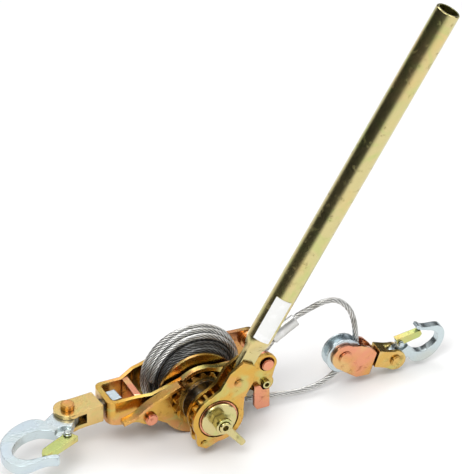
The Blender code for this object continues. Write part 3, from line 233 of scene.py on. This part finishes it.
def add_node(tree, kind, inputs, output=0, **settings):
    """Any node: its settings, its inputs by name or place, and one of its outputs."""
    node = tree.nodes.new(kind)
    for name, value in settings.items():
        setattr(node, name, value)
    for name, value in inputs.items():
        join(tree, value, node.inputs[name])
    return Value(tree, node.outputs[output])


def mix(tree, share, low, high):
    """One colour turning into another."""
    pair = {0: share, 6: low, 7: high}
    return add_node(tree, "ShaderNodeMix", pair, 2, data_type="RGBA")


def noise(tree, place, scale, detail=2.0, distortion=0.0):
    inputs = {"Vector": place, "Scale": scale, "Detail": detail, "Distortion": distortion}
    return add_node(tree, "ShaderNodeTexNoise", inputs)


def shift(tree, place, offset):
    """The same coordinates, moved, so that two patterns don't follow each other."""
    return add_node(tree, "ShaderNodeVectorMath", {0: place, 1: offset}, operation="ADD")


def colour(tone):
    return (*tone, 1.0)


def new_material(name, metallic):
    """A material with its tree, its Principled shader and its Object coordinates."""
    material = bpy.data.materials.new(name)
    material.use_nodes = True
    tree = material.node_tree
    shader = next(n for n in tree.nodes if n.type == "BSDF_PRINCIPLED")
    shader.inputs["Metallic"].default_value = metallic
    place = add_node(tree, "ShaderNodeTexCoord", {}, "Object")
    return material, tree, shader, place


def hollows(tree, reach):
    """How closed in a spot is, by ambient occlusion: 1 deep in a corner, 0 on open ground; the materials
    paint shade with it.
    """
    open_share = add_node(
        tree, "ShaderNodeAmbientOcclusion", {"Distance": reach}, "AO", samples=HOLLOW_SAMPLES
    )
    return 1.0 - open_share


def set_relief(tree, shader, height, strength, edge):
    """Fine relief on top of rounded edges."""
    rounded = add_node(tree, "ShaderNodeBevel", {"Radius": edge}, samples=BEVEL_SAMPLES)
    inputs = {"Height": height, "Strength": strength, "Distance": BUMP_DEPTH, "Normal": rounded}
    join(tree, add_node(tree, "ShaderNodeBump", inputs), shader.inputs["Normal"])


def plated(name, tones, smooth=0.17):
    """Zinc plating whose passivation drifts between three tones, with handling marks and painted shade in
    its hollows.
    """
    finish = bpy.context.scene.puller_finish
    main, second, third = [colour(t) for t in tones]
    material, tree, shader, place = new_material(name, 1.0)
    drift = noise(tree, place, finish.patch, 3.0, 0.8)
    film = noise(tree, shift(tree, place, (3.1, 1.7, 0.4)), finish.patch * 1.9, 2.0, 1.4)
    tone = mix(tree, drift.between(0.42, 0.74) * 0.75, main, second)
    tone = mix(tree, film.between(0.46, 0.74) * 0.65, tone, third)
    grime = noise(tree, shift(tree, place, (0.6, 2.3, 5.2)), 140.0, 5.0, 0.3)
    dull = grime.between(0.56, 0.76)
    # painted shade: ambient occlusion darkens corners and recesses, added to the random dirt marks
    hollow_shade = hollows(tree, 9.0 * MM)
    dirt_and_shade = (dull * 0.45 + hollow_shade.between(0.25, 0.85) * 0.75).clamped()
    tone = mix(tree, dirt_and_shade, tone, colour([c * c * 0.35 for c in tones[0]]))
    join(tree, tone, shader.inputs["Base Color"])
    join(tree, smooth + 0.14 * drift + 0.20 * dull, shader.inputs["Roughness"])
    grain = noise(tree, place, 1500.0, 2.0)
    set_relief(tree, shader, grain, 0.10, finish.edge)
    return material


def cast_silver(name, smooth=0.16):
    """Blue-white zinc over a forging: soft dimples, worn brighter patches and painted shade in its hollows.
    """
    finish = bpy.context.scene.puller_finish
    material, tree, shader, place = new_material(name, 0.95)
    drift = noise(tree, place, finish.patch * 1.3, 3.0, 0.5)
    tone = mix(tree, drift.between(0.42, 0.66) * 0.6, colour(finish.silver), (0.50, 0.58, 0.66, 1.0))
    warm = noise(tree, shift(tree, place, (1.2, 0.3, 2.9)), finish.patch * 0.9)
    tone = mix(tree, warm.between(0.56, 0.72) * 0.5, tone, (0.66, 0.62, 0.50, 1.0))
    pits = noise(tree, place, 420.0, 4.0)
    tone = mix(tree, pits.between(0.60, 0.76) * 0.5, tone, (0.20, 0.21, 0.21, 1.0))
    # painted shade: ambient occlusion darkens the hollows
    hollow_shade = hollows(tree, 6.0 * MM)
    tone = mix(tree, hollow_shade.between(0.3, 0.9) * 0.6, tone, (0.10, 0.11, 0.11, 1.0))
    join(tree, tone, shader.inputs["Base Color"])
    join(tree, smooth + 0.2 * drift, shader.inputs["Roughness"])
    set_relief(tree, shader, pits, 0.45, finish.edge * 2.0)
    return material


def rope_steel(name, shade=1.0):
    """Galvanised wire: fine wires across each strand, patches of grease and painted shade in the lay; a
    shade below 1 gives a darker copy that paints shade on turns in shadow.
    """
    material, tree, shader, place = new_material(name, 0.95)
    wires = noise(tree, place, 1900.0, 2.0)
    grease = noise(tree, place, 60.0, 3.0)
    # shade below 1 darkens the whole copy: painted shade for rope turns in shadow
    light = colour([0.78 * shade, 0.78 * shade, 0.76 * shade])
    dark = colour([0.34 * shade, 0.32 * shade, 0.28 * shade])
    tone = mix(tree, grease.between(0.46, 0.70) * 0.7, light, dark)
    tone = mix(tree, wires.between(0.50, 0.68) * 0.5, tone, dark)
    # painted shade: ambient occlusion darkens the lay between strands
    lay_shade = hollows(tree, 2.0 * MM)
    tone = mix(tree, lay_shade.between(0.35, 0.80) * 0.9, tone, colour(LAY_SHADE_TONE))
    join(tree, tone, shader.inputs["Base Color"])
    join(tree, 0.26 + 0.18 * grease, shader.inputs["Roughness"])
    relief = {"Height": wires, "Strength": 0.4, "Distance": 0.15 * MM}
    join(tree, add_node(tree, "ShaderNodeBump", relief), shader.inputs["Normal"])
    return material


def plain(name, tone, metallic, roughness):
    """One tone with a slightly uneven gloss."""
    finish = bpy.context.scene.puller_finish
    material, tree, shader, place = new_material(name, metallic)
    uneven = noise(tree, place, 120.0, 3.0)
    worn = colour([min(1.0, c * 1.5 + 0.02) for c in tone])
    join(tree, mix(tree, uneven.between(0.5, 0.7) * 0.4, colour(tone), worn), shader.inputs["Base Color"])
    join(tree, roughness + 0.1 * uneven, shader.inputs["Roughness"])
    set_relief(tree, shader, uneven, 0.05, finish.edge)
    return material


def make_materials():
    """Every finish of the tool, by name."""
    finish = bpy.context.scene.puller_finish
    gold, rose, green = finish.gold, finish.rose, finish.green
    olive = finish.olive
    pale = (0.72, 0.52, 0.22)
    return {
        "gold": plated("zinc_gold", (gold, rose, green)),
        "rose": plated("zinc_rose", (rose, gold, pale)),
        "olive": plated("zinc_olive", (olive, pale, green), smooth=0.14),
        "pale": plated("zinc_pale_gold", (pale, gold, green)),
        "lime": plated("zinc_lime", (green, pale, gold)),
        "silver": cast_silver("zinc_silver"),
        "bright": cast_silver("machined_steel", smooth=0.12),
        "black": plain("dark_steel", (0.24, 0.22, 0.18), 1.0, 0.16),
        "aluminium": plain("pressed_aluminium", (0.70, 0.70, 0.68), 0.95, 0.34),
        "label": plain("label_film", (0.88, 0.88, 0.86), 0.0, 0.35),
        "rope": rope_steel("wire_rope_steel"),
        # a darker copy of the rope steel: painted shade for rope turns in shadow
        "shaded_rope": rope_steel("shaded_rope_steel", 0.22),
    }


FINISHES = {
    "gold": (
        "frame_strap", "shaft_bush_near", "shaft_bush_far", "ratchet_guard", "holding_pawl",
        "drum_core", "drum_flange_near", "drum_flange_far", "holding_ratchet", "drive_ratchet",
        "far_nut", "yoke_cheek_near", "yoke_cheek_far", "drive_pawl", "clevis_pin_fixed",
        "cheek_rivet", "drive_pawl_rivet",
    ),
    "rose": (
        "cross_web", "tie_bar", "rope_guide_near", "rope_guide_far", "pawl_bolt",
        "retaining_ring", "block_strap", "sheave_pin",
    ),
    "olive": ("spring_pin", "cap_disc", "shaft_nut", "feed_lever", "handle_tube", "drum_shaft"),
    "pale": ("clevis_fixed", "clevis_moving", "clevis_pin_moving"),
    "lime": ("latch_fixed", "latch_moving"),
    "silver": (
        "hook_fixed", "hook_moving", "sheave", "swivel_nut_fixed", "swivel_stud_fixed",
        "swivel_stud_moving", "thrust_washer", "far_washer",
    ),
    "bright": ("rope_guide_roller", "latch_pin_fixed", "latch_pin_moving"),
    "black": ("friction_disc", "drive_hub", "guide_bolt"),
    "aluminium": ("rope_ferrule",),
    "label": ("handle_label",),
}


# ---------------------------------------------------------------- geometry helpers

def body_name(node):
    """The body that a frame node belongs to."""
    return frame["nodes"][node]["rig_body"]


def link(name, data):
    thing = bpy.data.objects.new(name, data)
    bpy.context.scene.collection.objects.link(thing)
    return thing


def poly_curve(name, points, closed=False):
    """A poly curve through points in the row frame."""
    curve = bpy.data.curves.new(name, "CURVE")
    curve.dimensions = "3D"
    spline = curve.splines.new("POLY")
    spline.points.add(len(points) - 1)
    for point, place in zip(spline.points, points):
        point.co = (*place, 1.0)
    spline.use_cyclic_u = closed
    return link(name, curve)


def smooth_route(points, spacing):
    """A smooth curve through the chosen points, read at even spacing (centripetal spline)."""
    ends = [2 * Vector(points[0]) - Vector(points[1])]
    ends += [Vector(p) for p in points]
    ends += [2 * Vector(points[-1]) - Vector(points[-2])]
    fine = []
    for a, b, c, d in zip(ends, ends[1:], ends[2:], ends[3:]):
        t1 = math.sqrt((b - a).length)
        t2 = t1 + math.sqrt((c - b).length)
        t3 = t2 + math.sqrt((d - c).length)
        for i in range(CURVE_STEPS):
            t = t1 + (t2 - t1) * i / CURVE_STEPS
            low = a.lerp(b, t / t1)
            middle = b.lerp(c, (t - t1) / (t2 - t1))
            high = c.lerp(d, (t - t2) / (t3 - t2))
            first = low.lerp(middle, t / t2)
            second = middle.lerp(high, (t - t1) / (t3 - t1))
            fine.append(first.lerp(second, (t - t1) / (t2 - t1)))
    fine.append(ends[-2])
    lengths = [0.0]
    for first, second in zip(fine, fine[1:]):
        lengths.append(lengths[-1] + (second - first).length)
    count = max(2, round(lengths[-1] / spacing))
    route = []
    at = 0
    for i in range(count + 1):
        want = lengths[-1] * i / count
        while at < len(lengths) - 2 and lengths[at + 1] < want:
            at += 1
        share = (want - lengths[at]) / (lengths[at + 1] - lengths[at])
        route.append(fine[at].lerp(fine[at + 1], share))
    return route


def route_length(points):
    return sum((b - a).length for a, b in zip(points, points[1:]))


class NodeTree:
    """A Geometry Nodes tree with named inputs."""

    def __init__(self, name, inputs):
        self.tree = bpy.data.node_groups.new(name, "GeometryNodeTree")
        self.tree.interface.new_socket("Geometry", in_out="OUTPUT", socket_type="NodeSocketGeometry")
        self.tree.interface.new_socket("Path", in_out="INPUT", socket_type="NodeSocketGeometry")
        self.ids = {}
        for label, kind in inputs:
            socket = self.tree.interface.new_socket(label, in_out="INPUT", socket_type=kind)
            self.ids[label] = socket.identifier
        self.given = self.tree.nodes.new("NodeGroupInput")

    def node(self, kind, inputs, **settings):
        made = self.tree.nodes.new(kind)
        for name, value in settings.items():
            setattr(made, name, value)
        for name, value in inputs.items():
            if isinstance(value, bpy.types.NodeSocket):
                self.tree.links.new(value, made.inputs[name])
            else:
                made.inputs[name].default_value = value
        return made

    def math(self, operation, first, second):
        return self.node("ShaderNodeMath", {0: first, 1: second}, operation=operation).outputs[0]

    def end(self, geometry, material):
        real = self.node("GeometryNodeRealizeInstances", {"Geometry": geometry})
        smooth = self.node("GeometryNodeSetShadeSmooth", {"Geometry": real.outputs[0]})
        painted = self.node(
            "GeometryNodeSetMaterial", {"Geometry": smooth.outputs[0], "Material": material}
        )
        output = self.tree.nodes.new("NodeGroupOutput")
        self.tree.links.new(painted.outputs[0], output.inputs[0])


def stranded_tree():
    """Sweeps a ring of strands along a path while the ring turns once in each lay length."""
    made = NodeTree(
        "Stranded rope",
        (
            ("Diameter", "NodeSocketFloat"),
            ("Strands", "NodeSocketInt"),
            ("Lay length", "NodeSocketFloat"),
            ("Spacing", "NodeSocketFloat"),
            ("Sides", "NodeSocketInt"),
            ("Material", "NodeSocketMaterial"),
        ),
    )
    given = made.given.outputs
    even = made.node(
        "GeometryNodeResampleCurve", {"Curve": given["Path"], "Length": given["Spacing"]}, mode="LENGTH"
    )
    along = made.node("GeometryNodeSplineParameter", {}).outputs["Length"]
    turns = made.math("DIVIDE", along, given["Lay length"])
    angle = made.math("MULTIPLY", turns, 2 * math.pi)
    twisted = made.node("GeometryNodeSetCurveTilt", {"Curve": even.outputs[0], "Tilt": angle})
    ring_r = made.math("MULTIPLY", given["Diameter"], STRAND_RING)
    strand_r = made.math("MULTIPLY", given["Diameter"], STRAND_RADIUS)
    ring = made.node("GeometryNodeMeshCircle", {"Vertices": given["Strands"], "Radius": ring_r})
    outline = {"Resolution": given["Sides"], "Radius": strand_r}
    strand = made.node("GeometryNodeCurvePrimitiveCircle", outline)
    strands = made.node(
        "GeometryNodeInstanceOnPoints", {"Points": ring.outputs[0], "Instance": strand.outputs[0]}
    )
    profile = made.node("GeometryNodeRealizeInstances", {"Geometry": strands.outputs[0]})
    swept = made.node(
        "GeometryNodeCurveToMesh",
        {"Curve": twisted.outputs[0], "Profile Curve": profile.outputs[0], "Fill Caps": True},
    )
    made.end(swept.outputs[0], given["Material"])
    return made


def spring_tree():
    """A coil of round wire on its own axis, standing on its lower end."""
    made = NodeTree(
        "Coil spring",
        (
            ("Radius", "NodeSocketFloat"),
            ("Wire radius", "NodeSocketFloat"),
            ("Height", "NodeSocketFloat"),
            ("Turns", "NodeSocketFloat"),
            ("Material", "NodeSocketMaterial"),
        ),
    )
    given = made.given.outputs
    coil = made.node(
        "GeometryNodeCurveSpiral",
        {
            "Resolution": 28,
            "Rotations": given["Turns"],
            "Start Radius": given["Radius"],
            "End Radius": given["Radius"],
            "Height": given["Height"],
        },
    )
    wire = made.node("GeometryNodeCurvePrimitiveCircle", {"Resolution": 10, "Radius": given["Wire radius"]})
    swept = made.node(
        "GeometryNodeCurveToMesh",
        {"Curve": coil.outputs[0], "Profile Curve": wire.outputs[0], "Fill Caps": True},
    )
    made.end(swept.outputs[0], given["Material"])
    return made


def grown(thing, made, values, name):
    """The tree's result on thing, as a plain mesh object at the origin; thing is removed."""
    step = thing.modifiers.new("grow", "NODES")
    step.node_group = made.tree
    for label, value in values.items():
        step[made.ids[label]] = value
    bpy.context.view_layer.update()
    graph = bpy.context.evaluated_depsgraph_get()
    mesh = bpy.data.meshes.new_from_object(thing.evaluated_get(graph))
    if not mesh.polygons:
        raise RuntimeError(name + " came out empty")
    bpy.data.objects.remove(thing)
    mesh.name = name
    return link(name, mesh)


def rope_piece(name, points, made, material, sides=8, spacing=None):
    """A stranded rope along points in the row frame."""
    rope = bpy.context.scene.puller_rope
    values = {
        "Diameter": rope.diameter,
        "Strands": rope.strands,
        "Lay length": rope.lay_length,
        "Spacing": spacing or rope.spacing,
        "Sides": sides,
        "Material": material,
    }
    return grown(poly_curve(name + "_path", points), made, values, name)


# ---------------------------------------------------------------- routes

def on_drum(x, y, z):
    return DRUM + Vector((x, y, z)) * MM


def polar(radius, degrees):
    angle = math.radians(degrees)
    return Vector((math.cos(angle) * radius, 0.0, math.sin(angle) * radius))


def eye_axes():
    """Along the ferrule, away from the tie bar, and across it."""
    ahead = Vector((math.cos(EYE_TILT), 0.0, math.sin(EYE_TILT)))
    across = Vector((-math.sin(EYE_TILT), 0.0, math.cos(EYE_TILT)))
    return ahead, across


def rope_route():
    """From the guide at the frame's foot, round the sheave and back to the ferrule."""
    ahead, across = eye_axes()
    leave = TIE_BAR + ahead * (FERRULE_START + FERRULE_LENGTH + GAP) + across * FERRULE_SIDE
    lower = [
        on_drum(57.5, -9.0, -33.4), on_drum(71.5, -10.0, -34.2), on_drum(84.0, -11.0, -35.4),
        on_drum(97.0, -13.0, -36.1), on_drum(111.0, -14.4, -36.6), on_drum(123.5, -14.4, -36.6),
        on_drum(135.0, -13.6, -35.4), on_drum(146.5, -12.6, -31.6), on_drum(156.0, -12.0, -25.8),
    ]
    wrap = [SHEAVE + polar(SHEAVE_PITCH_R, angle) for angle in (-72, -58, -44, -30, -16, -3)]
    upper = [
        on_drum(176.8, -11.7, 6.0), on_drum(176.6, -11.0, 17.0), on_drum(175.5, -9.7, 28.6),
        on_drum(172.6, -8.5, 39.8), on_drum(168.4, -7.5, 47.2), on_drum(162.7, -6.5, 53.4),
        on_drum(156.0, -5.5, 56.9), on_drum(149.0, -4.5, 57.6), on_drum(139.0, -3.0, 55.0),
        on_drum(129.0, -1.5, 50.3),
    ]
    return smooth_route(lower + wrap + upper + [leave + ahead * 4 * MM, leave], ROUTE_SPACING)


def eye_route():
    """The rope's eye round the tie bar, from the ferrule's mouth and back into it."""
    ahead, across = eye_axes()
    points = [TIE_BAR + ahead * (FERRULE_START - GAP) + across * EYE_SIDE]
    for step in range(EYE_STEPS + 1):
        angle = math.radians(EYE_OPENING + (360.0 - 2 * EYE_OPENING) * step / EYE_STEPS)
        points.append(TIE_BAR + (ahead * math.cos(angle) + across * math.sin(angle)) * EYE_R)
    points.append(TIE_BAR + ahead * (FERRULE_START - GAP) - across * EYE_SIDE)
    return points


def turn_route(knots, steps=WINDING_STEPS):
    """Oval turns round the drum through knots of (turns so far, y, share of full size)."""
    half = bpy.context.scene.puller_rope.diameter / 2
    points = []
    for (begin, y_begin, share_begin), (end, y_end, share_end) in zip(knots, knots[1:]):
        count = round((end - begin) * steps)
        for i in range(count):
            along = i / count
            angle = 2 * math.pi * (begin + (end - begin) * along)
            share = share_begin + (share_end - share_begin) * along
            y = y_begin + (y_end - y_begin) * along
            out_x = WINDING_HALF_X * share - half
            out_z = WINDING_HALF_Z * share - half
            spot = Vector((math.cos(angle) * out_x, y * MM, math.sin(angle) * out_z))
            points.append(DRUM + WINDING_CENTRE + spot)
    return points


# ---------------------------------------------------------------- operators

class PullerParts(bpy.types.Operator):
    """Finish every solid part: weld and smooth its surface and plate it."""

    bl_idname = "puller.parts"
    bl_label = "Plated parts"

    def execute(self, context):
        materials = make_materials()
        for finish, nodes in FINISHES.items():
            for node in nodes:
                self.finish_part(node, materials[finish])
        return {"FINISHED"}

    def finish_part(self, node, material):
        source = frame["nodes"][node]
        shape = bmesh.new()
        shape.from_mesh(source.data)
        bmesh.ops.remove_doubles(shape, verts=shape.verts, dist=WELD)
        mesh = bpy.data.meshes.new(node + "_finished")
        shape.to_mesh(mesh)
        shape.free()
        if "custom_normal" in mesh.attributes:
            mesh.attributes.remove(mesh.attributes["custom_normal"])
        mesh.shade_smooth()
        mesh.set_sharp_from_angle(angle=SHARP_ANGLE)
        mesh.materials.clear()
        mesh.materials.append(material)
        part = link(node + "_finished", mesh)
        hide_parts(node)
        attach(part, body_name(node))


class PullerRopes(bpy.types.Operator):
    """Lay the free rope round the sheave and the eye round the tie bar."""

    bl_idname = "puller.ropes"
    bl_label = "Free rope and eye"

    def execute(self, context):
        steel = bpy.data.materials["wire_rope_steel"]
        made = stranded_tree()
        route = rope_route()
        rope = rope_piece("free_rope", route, made, steel)
        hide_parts("wire_rope")
        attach(rope, "frame")
        eye = rope_piece("rope_eye_loop", eye_route(), made, steel)
        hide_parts("rope_eye")
        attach(eye, "frame")
        route_length(route)
        return {"FINISHED"}


class PullerWinding(bpy.types.Operator):
    """Wind the stored rope on the drum: loose outer turns over inner ones; the inner turns and the second
    tier take a darker copy of the rope steel as painted shade.
    """

    bl_idname = "puller.winding"
    bl_label = "Wound rope"

    def execute(self, context):
        made = stranded_tree()
        steel = bpy.data.materials["wire_rope_steel"]
        # painted shade: the darker copy of the rope steel for the second tier and the inner turns
        dark = bpy.data.materials["shaded_rope_steel"]
        # knots of (turns so far, mm along the drum, share of full size)
        wide = [(0.0, 12.3, 1.03), (1.0, 6.4, 1.02), (2.0, 0.6, 0.96), (2.5, -2.2, 0.93)]
        narrow = [(0.0, -6.0, 0.76), (1.4, -11.0, 0.73)]
        under = [(0.0, 11.5, 0.92), (3.0, -3.0, 0.84), (4.5, -10.5, 0.64)]
        outer = rope_piece("wound_rope_outer", turn_route(wide), made, steel, OUTER_SIDES)
        second = rope_piece("wound_rope_step", turn_route(narrow), made, dark, OUTER_SIDES)
        hidden = turn_route(under, WINDING_STEPS * 2 // 3)
        inner = rope_piece("wound_rope_inner", hidden, made, dark, INNER_SIDES, INNER_SPACING)
        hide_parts("rope_winding")
        for piece in (outer, second, inner):
            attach(piece, "drum")
        return {"FINISHED"}


class PullerSprings(bpy.types.Operator):
    """Coil the pawl's spring and the two latch springs."""

    bl_idname = "puller.springs"
    bl_label = "Springs"

    def execute(self, context):
        made = spring_tree()
        steel = bpy.data.materials["machined_steel"]
        for node in ("pawl_spring", "latch_spring_fixed", "latch_spring_moving"):
            self.coil(node, made, steel)
        return {"FINISHED"}

    def coil(self, node, made, material):
        """A coil that fills its node's box, on the box's shortest axis."""
        low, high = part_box(node)
        size = high - low
        axis = min(range(3), key=lambda i: size[i])
        height = size[axis]
        outer = (sum(size) - height) / 4
        wire = min(SPRING_WIRE_R, height / 4)
        turns = 2.0 if height < SHORT_SPRING else 3.0
        values = {
            "Radius": outer - wire,
            "Wire radius": wire,
            "Height": height - 2 * wire,
            "Turns": turns,
            "Material": material,
        }
        seat = poly_curve(node + "_seat", [(0, 0, 0), (0, 0, height)])
        spring = grown(seat, made, values, node + "_coil")
        direction = Vector([1.0 if i == axis else 0.0 for i in range(3)])
        turned = Vector((0.0, 0.0, 1.0)).rotation_difference(direction).to_matrix().to_4x4()
        start = (low + high) / 2 - direction * (height / 2 - wire)
        spring.data.transform(Matrix.Translation(start) @ turned)
        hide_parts(node)
        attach(spring, body_name(node))


class PullerStageSet(bpy.types.Operator):
    """Set the pale floor, the soft lights and the camera."""

    bl_idname = "puller.stage"
    bl_label = "Studio"

    def execute(self, context):
        stage = context.scene.puller_stage
        right = RIGHT.normalized()
        toward = TOWARD.normalized()
        up = toward.cross(right).normalized()
        target = DRUM + right * AIM_RIGHT + up * AIM_UP
        self.add_floor()
        self.add_camera(stage, right, up, toward, target)
        self.add_light("key_softbox", stage.key_power, 1.1, Vector((-0.9, -1.1, 1.7)), target)
        self.add_light("fill_softbox", stage.fill_power, 1.4, Vector((1.5, -0.9, 1.1)), target)
        self.add_light("top_softbox", stage.fill_power, 1.2, Vector((0.3, 1.2, 1.8)), target)
        self.add_room(stage.room)
        context.scene.view_settings.view_transform = "Standard"
        return {"FINISHED"}

    def add_floor(self):
        mesh = bpy.data.meshes.new("floor")
        shape = bmesh.new()
        bmesh.ops.create_grid(shape, x_segments=1, y_segments=1, size=FLOOR_HALF)
        shape.to_mesh(mesh)
        shape.free()
        floor = link("floor", mesh)
        floor.location.z = -FLOOR_DROP
        material, _, shader, _ = new_material("floor_paper", 0.0)
        shader.inputs["Base Color"].default_value = (0.90, 0.90, 0.90, 1.0)
        shader.inputs["Roughness"].default_value = 0.9
        shader.inputs["Specular IOR Level"].default_value = 0.1
        mesh.materials.append(material)

    def add_camera(self, stage, right, up, toward, target):
        data = bpy.data.cameras.new("camera")
        data.sensor_width = 36.0
        data.lens = data.sensor_width * stage.distance / stage.view_size
        data.clip_end = 100.0
        camera = link("camera", data)
        turn = Matrix((right, up, toward)).transposed().to_4x4()
        camera.matrix_world = Matrix.Translation(target + toward * stage.distance) @ turn
        bpy.context.scene.camera = camera

    def add_light(self, name, power, size, offset, target):
        data = bpy.data.lights.new(name, "AREA")
        data.energy = power
        data.size = size
        lamp = link(name, data)
        lamp.location = target + offset
        lamp.rotation_euler = (-offset).to_track_quat("-Z", "Y").to_euler()

    def add_room(self, strength):
        world = bpy.data.worlds.new("room")
        bpy.context.scene.world = world
        world.use_nodes = True
        tree = world.node_tree
        surface = next(n for n in tree.nodes if n.type == "BACKGROUND")
        surface.inputs["Color"].default_value = (1.0, 1.0, 1.0, 1.0)
        way = add_node(tree, "ShaderNodeTexCoord", {}, "Generated")
        height = add_node(tree, "ShaderNodeSeparateXYZ", {0: way}, "Z")
        join(tree, (0.03 + height.between(0.35, 0.80) * 1.1) * strength, surface.inputs["Strength"])


class PullerPanel(bpy.types.Panel):
    """The puller's pieces and sizes."""

    bl_idname = "VIEW3D_PT_puller"
    bl_label = "Wire rope puller"
    bl_space_type = "VIEW_3D"
    bl_region_type = "UI"
    bl_category = "Puller"

    def draw(self, context):
        layout = self.layout
        for operator in OPERATORS:
            layout.operator(operator.bl_idname)
        scene = context.scene
        for group in (scene.puller_rope, scene.puller_finish, scene.puller_stage):
            for name in group.__annotations__:
                layout.prop(group, name)


GROUPS = (PullerRope, PullerFinish, PullerStage)
OPERATORS = (PullerParts, PullerRopes, PullerWinding, PullerSprings, PullerStageSet)


def register():
    for made in (*GROUPS, *OPERATORS, PullerPanel):
        bpy.utils.register_class(made)
    bpy.types.Scene.puller_rope = PointerProperty(type=PullerRope)
    bpy.types.Scene.puller_finish = PointerProperty(type=PullerFinish)
    bpy.types.Scene.puller_stage = PointerProperty(type=PullerStage)


def unregister():
    del bpy.types.Scene.puller_stage
    del bpy.types.Scene.puller_finish
    del bpy.types.Scene.puller_rope
    for made in reversed((*GROUPS, *OPERATORS, PullerPanel)):
        bpy.utils.unregister_class(made)


def main():
    """Registers the add-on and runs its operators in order."""
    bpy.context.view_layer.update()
    register()
    bpy.ops.puller.parts()
    bpy.ops.puller.ropes()
    bpy.ops.puller.winding()
    bpy.ops.puller.springs()
    bpy.ops.puller.stage()
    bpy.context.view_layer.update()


if __name__ == "__main__":
    main()
